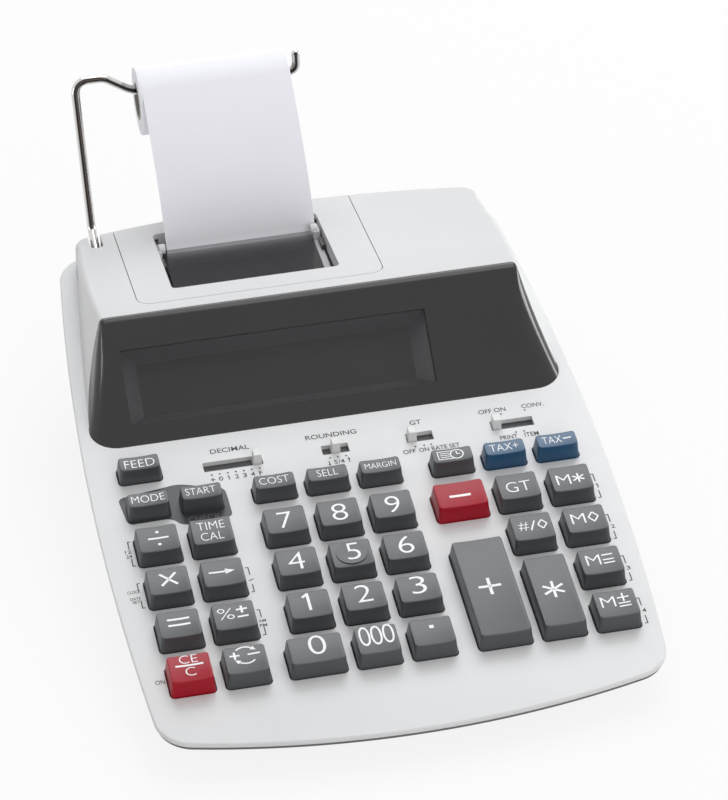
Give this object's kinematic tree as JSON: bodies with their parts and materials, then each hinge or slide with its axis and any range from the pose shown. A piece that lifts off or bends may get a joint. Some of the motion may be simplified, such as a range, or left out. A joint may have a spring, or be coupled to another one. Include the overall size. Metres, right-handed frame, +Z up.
{
  "type": "printing calculator",
  "caption": "Desktop printing calculator: wedge-shaped case with keys and slide switches, a smoked display window, and a paper roll on a wire arm behind a printer cover.",
  "frame": {"origin": "under the middle of the whole calculator, on the plane of its feet", "axes": "+X to the user's right, +Y from the user to the back, +Z up"},
  "size_m": [0.1836, 0.3002, 0.1177],
  "materials": {
    "case": "fine satin",
    "switch": "satin",
    "key_grey": "satin",
    "key_red": "satin",
    "key_blue": "satin",
    "smoked_window": "gloss, smoked",
    "display": "gloss",
    "wire": "polished",
    "paper": "matt paper",
    "frame": "moulded",
    "rubber": "ground rubber",
    "carriage": "moulded",
    "ink": "inked foam",
    "steel": "plated sheet",
    "pinion": "plain steel",
    "board": "lacquered laminate",
    "membrane": "matt silicone"
  },
  "bodies": {
    "housing": {"top_case": "case", "bottom_case": "case", "display_window": "smoked_window", "display_module": "display", "printer_frame": "frame", "tear_bar": "smoked_window", "drive_motor": "steel", "main_board": "board", "key_membrane": "membrane", "transformer": "steel", "paper_web": "paper"},
    "key_feed": {"key_feed": "key_grey"},
    "key_mode": {"key_mode": "key_grey"},
    "key_start": {"key_start": "key_grey"},
    "key_cost": {"key_cost": "key_grey"},
    "key_sell": {"key_sell": "key_grey"},
    "key_margin": {"key_margin": "key_grey"},
    "key_clock": {"key_clock": "key_grey"},
    "key_tax_plus": {"key_tax_plus": "key_blue"},
    "key_tax_minus": {"key_tax_minus": "key_blue"},
    "key_divide": {"key_divide": "key_grey"},
    "key_multiply": {"key_multiply": "key_grey"},
    "key_equals": {"key_equals": "key_grey"},
    "key_clear": {"key_clear": "key_red"},
    "key_time": {"key_time": "key_grey"},
    "key_shift": {"key_shift": "key_grey"},
    "key_percent": {"key_percent": "key_grey"},
    "key_sign": {"key_sign": "key_grey"},
    "key_7": {"key_7": "key_grey"},
    "key_8": {"key_8": "key_grey"},
    "key_9": {"key_9": "key_grey"},
    "key_4": {"key_4": "key_grey"},
    "key_5": {"key_5": "key_grey"},
    "key_6": {"key_6": "key_grey"},
    "key_1": {"key_1": "key_grey"},
    "key_2": {"key_2": "key_grey"},
    "key_3": {"key_3": "key_grey"},
    "key_0": {"key_0": "key_grey"},
    "key_000": {"key_000": "key_grey"},
    "key_point": {"key_point": "key_grey"},
    "key_minus": {"key_minus": "key_red"},
    "key_plus": {"key_plus": "key_grey"},
    "key_grand_total": {"key_grand_total": "key_grey"},
    "key_subtotal": {"key_subtotal": "key_grey"},
    "key_total": {"key_total": "key_grey"},
    "key_memory_total": {"key_memory_total": "key_grey"},
    "key_memory_subtotal": {"key_memory_subtotal": "key_grey"},
    "key_memory_plus": {"key_memory_plus": "key_grey"},
    "key_memory_minus": {"key_memory_minus": "key_grey"},
    "decimal_switch": {"decimal_switch": "switch"},
    "rounding_switch": {"rounding_switch": "switch"},
    "total_switch": {"total_switch": "switch"},
    "print_switch": {"print_switch": "switch"},
    "printer_cover": {"printer_cover": "case"},
    "paper_roll": {"paper_roll": "paper"},
    "paper_arm": {"paper_arm": "wire"},
    "platen_roller": {"platen_roller": "rubber"},
    "motor_pinion": {"motor_pinion": "pinion"},
    "print_carriage": {"print_carriage": "carriage"},
    "ink_roller": {"ink_roller": "ink"}
  },
  "joints": [
    {"name": "decimal_switch_slide", "type": "slide", "parent": "housing", "child": "decimal_switch", "axis": [1, 0, 0], "range_m": [-0.0174, 0]},
    {"name": "rounding_switch_slide", "type": "slide", "parent": "housing", "child": "rounding_switch", "axis": [1, 0, 0], "range_m": [-0.0029, 0.0029]},
    {"name": "total_switch_slide", "type": "slide", "parent": "housing", "child": "total_switch", "axis": [1, 0, 0], "range_m": [0, 0.0058]},
    {"name": "print_switch_slide", "type": "slide", "parent": "housing", "child": "print_switch", "axis": [1, 0, 0], "range_m": [0, 0.0116]},
    {"name": "paper_arm_fold", "type": "hinge", "parent": "housing", "child": "paper_arm", "pos_m": [-0.069, 0.10484, 0.0575], "axis": [-1, 0, 0], "range_deg": [0, 35]},
    {"name": "paper_roll_spin", "type": "hinge", "parent": "paper_arm", "child": "paper_roll", "pos_m": [-0.0165, 0.13725, 0.1038], "axis": [1, 0, 0], "continuous": true},
    {"name": "platen_spin", "type": "hinge", "parent": "housing", "child": "platen_roller", "pos_m": [-0.0165, 0.09779, 0.04436], "axis": [1, 0, 0], "continuous": true},
    {"name": "motor_spin", "type": "hinge", "parent": "housing", "child": "motor_pinion", "pos_m": [0.0189, 0.10352, 0.03017], "axis": [1, 0, 0], "continuous": true},
    {"name": "carriage_slide", "type": "slide", "parent": "housing", "child": "print_carriage", "axis": [1, 0, 0], "range_m": [0, 0.048]},
    {"name": "ink_roller_spin", "type": "hinge", "parent": "print_carriage", "child": "ink_roller", "pos_m": [-0.0405, 0.07235, 0.0508], "axis": [1, 0, 0], "continuous": true},
    {"name": "printer_cover_slide", "type": "slide", "parent": "housing", "child": "printer_cover", "axis": [0, 0.995, -0.1002], "range_m": [0, 0.009]},
    {"name": "key_feed_press", "type": "slide", "parent": "housing", "child": "key_feed", "axis": [0, 0.1478, -0.989], "range_m": [0, 0.003], "stiffness_N_per_m": 200, "springref_m": -0.003},
    {"name": "key_mode_press", "type": "slide", "parent": "housing", "child": "key_mode", "axis": [0, 0.1478, -0.989], "range_m": [0, 0.003], "stiffness_N_per_m": 200, "springref_m": -0.003},
    {"name": "key_start_press", "type": "slide", "parent": "housing", "child": "key_start", "axis": [0, 0.1478, -0.989], "range_m": [0, 0.003], "stiffness_N_per_m": 200, "springref_m": -0.003},
    {"name": "key_cost_press", "type": "slide", "parent": "housing", "child": "key_cost", "axis": [0, 0.1478, -0.989], "range_m": [0, 0.003], "stiffness_N_per_m": 200, "springref_m": -0.003},
    {"name": "key_sell_press", "type": "slide", "parent": "housing", "child": "key_sell", "axis": [0, 0.1478, -0.989], "range_m": [0, 0.003], "stiffness_N_per_m": 200, "springref_m": -0.003},
    {"name": "key_margin_press", "type": "slide", "parent": "housing", "child": "key_margin", "axis": [0, 0.1478, -0.989], "range_m": [0, 0.003], "stiffness_N_per_m": 200, "springref_m": -0.003},
    {"name": "key_clock_press", "type": "slide", "parent": "housing", "child": "key_clock", "axis": [0, 0.1478, -0.989], "range_m": [0, 0.003], "stiffness_N_per_m": 200, "springref_m": -0.003},
    {"name": "key_tax_plus_press", "type": "slide", "parent": "housing", "child": "key_tax_plus", "axis": [0, 0.1478, -0.989], "range_m": [0, 0.003], "stiffness_N_per_m": 200, "springref_m": -0.003},
    {"name": "key_tax_minus_press", "type": "slide", "parent": "housing", "child": "key_tax_minus", "axis": [0, 0.1478, -0.989], "range_m": [0, 0.003], "stiffness_N_per_m": 200, "springref_m": -0.003},
    {"name": "key_divide_press", "type": "slide", "parent": "housing", "child": "key_divide", "axis": [0, 0.1478, -0.989], "range_m": [0, 0.003], "stiffness_N_per_m": 200, "springref_m": -0.003},
    {"name": "key_multiply_press", "type": "slide", "parent": "housing", "child": "key_multiply", "axis": [0, 0.1478, -0.989], "range_m": [0, 0.003], "stiffness_N_per_m": 200, "springref_m": -0.003},
    {"name": "key_equals_press", "type": "slide", "parent": "housing", "child": "key_equals", "axis": [0, 0.1478, -0.989], "range_m": [0, 0.003], "stiffness_N_per_m": 200, "springref_m": -0.003},
    {"name": "key_clear_press", "type": "slide", "parent": "housing", "child": "key_clear", "axis": [0, 0.1478, -0.989], "range_m": [0, 0.003], "stiffness_N_per_m": 200, "springref_m": -0.003},
    {"name": "key_time_press", "type": "slide", "parent": "housing", "child": "key_time", "axis": [0, 0.1478, -0.989], "range_m": [0, 0.003], "stiffness_N_per_m": 200, "springref_m": -0.003},
    {"name": "key_shift_press", "type": "slide", "parent": "housing", "child": "key_shift", "axis": [0, 0.1478, -0.989], "range_m": [0, 0.003], "stiffness_N_per_m": 200, "springref_m": -0.003},
    {"name": "key_percent_press", "type": "slide", "parent": "housing", "child": "key_percent", "axis": [0, 0.1478, -0.989], "range_m": [0, 0.003], "stiffness_N_per_m": 200, "springref_m": -0.003},
    {"name": "key_sign_press", "type": "slide", "parent": "housing", "child": "key_sign", "axis": [0, 0.1478, -0.989], "range_m": [0, 0.003], "stiffness_N_per_m": 200, "springref_m": -0.003},
    {"name": "key_7_press", "type": "slide", "parent": "housing", "child": "key_7", "axis": [0, 0.1478, -0.989], "range_m": [0, 0.003], "stiffness_N_per_m": 200, "springref_m": -0.003},
    {"name": "key_8_press", "type": "slide", "parent": "housing", "child": "key_8", "axis": [0, 0.1478, -0.989], "range_m": [0, 0.003], "stiffness_N_per_m": 200, "springref_m": -0.003},
    {"name": "key_9_press", "type": "slide", "parent": "housing", "child": "key_9", "axis": [0, 0.1478, -0.989], "range_m": [0, 0.003], "stiffness_N_per_m": 200, "springref_m": -0.003},
    {"name": "key_4_press", "type": "slide", "parent": "housing", "child": "key_4", "axis": [0, 0.1478, -0.989], "range_m": [0, 0.003], "stiffness_N_per_m": 200, "springref_m": -0.003},
    {"name": "key_5_press", "type": "slide", "parent": "housing", "child": "key_5", "axis": [0, 0.1478, -0.989], "range_m": [0, 0.003], "stiffness_N_per_m": 200, "springref_m": -0.003},
    {"name": "key_6_press", "type": "slide", "parent": "housing", "child": "key_6", "axis": [0, 0.1478, -0.989], "range_m": [0, 0.003], "stiffness_N_per_m": 200, "springref_m": -0.003},
    {"name": "key_1_press", "type": "slide", "parent": "housing", "child": "key_1", "axis": [0, 0.1478, -0.989], "range_m": [0, 0.003], "stiffness_N_per_m": 200, "springref_m": -0.003},
    {"name": "key_2_press", "type": "slide", "parent": "housing", "child": "key_2", "axis": [0, 0.1478, -0.989], "range_m": [0, 0.003], "stiffness_N_per_m": 200, "springref_m": -0.003},
    {"name": "key_3_press", "type": "slide", "parent": "housing", "child": "key_3", "axis": [0, 0.1478, -0.989], "range_m": [0, 0.003], "stiffness_N_per_m": 200, "springref_m": -0.003},
    {"name": "key_0_press", "type": "slide", "parent": "housing", "child": "key_0", "axis": [0, 0.1478, -0.989], "range_m": [0, 0.003], "stiffness_N_per_m": 200, "springref_m": -0.003},
    {"name": "key_000_press", "type": "slide", "parent": "housing", "child": "key_000", "axis": [0, 0.1478, -0.989], "range_m": [0, 0.003], "stiffness_N_per_m": 200, "springref_m": -0.003},
    {"name": "key_point_press", "type": "slide", "parent": "housing", "child": "key_point", "axis": [0, 0.1478, -0.989], "range_m": [0, 0.003], "stiffness_N_per_m": 200, "springref_m": -0.003},
    {"name": "key_minus_press", "type": "slide", "parent": "housing", "child": "key_minus", "axis": [0, 0.1478, -0.989], "range_m": [0, 0.003], "stiffness_N_per_m": 200, "springref_m": -0.003},
    {"name": "key_plus_press", "type": "slide", "parent": "housing", "child": "key_plus", "axis": [0, 0.1478, -0.989], "range_m": [0, 0.003], "stiffness_N_per_m": 200, "springref_m": -0.003},
    {"name": "key_grand_total_press", "type": "slide", "parent": "housing", "child": "key_grand_total", "axis": [0, 0.1478, -0.989], "range_m": [0, 0.003], "stiffness_N_per_m": 200, "springref_m": -0.003},
    {"name": "key_subtotal_press", "type": "slide", "parent": "housing", "child": "key_subtotal", "axis": [0, 0.1478, -0.989], "range_m": [0, 0.003], "stiffness_N_per_m": 200, "springref_m": -0.003},
    {"name": "key_total_press", "type": "slide", "parent": "housing", "child": "key_total", "axis": [0, 0.1478, -0.989], "range_m": [0, 0.003], "stiffness_N_per_m": 200, "springref_m": -0.003},
    {"name": "key_memory_total_press", "type": "slide", "parent": "housing", "child": "key_memory_total", "axis": [0, 0.1478, -0.989], "range_m": [0, 0.003], "stiffness_N_per_m": 200, "springref_m": -0.003},
    {"name": "key_memory_subtotal_press", "type": "slide", "parent": "housing", "child": "key_memory_subtotal", "axis": [0, 0.1478, -0.989], "range_m": [0, 0.003], "stiffness_N_per_m": 200, "springref_m": -0.003},
    {"name": "key_memory_plus_press", "type": "slide", "parent": "housing", "child": "key_memory_plus", "axis": [0, 0.1478, -0.989], "range_m": [0, 0.003], "stiffness_N_per_m": 200, "springref_m": -0.003},
    {"name": "key_memory_minus_press", "type": "slide", "parent": "housing", "child": "key_memory_minus", "axis": [0, 0.1478, -0.989], "range_m": [0, 0.003], "stiffness_N_per_m": 200, "springref_m": -0.003}
  ],
  "couplings": [
    {"joint": "motor_spin", "follows": "platen_spin", "ratio": -2.6}
  ]
}
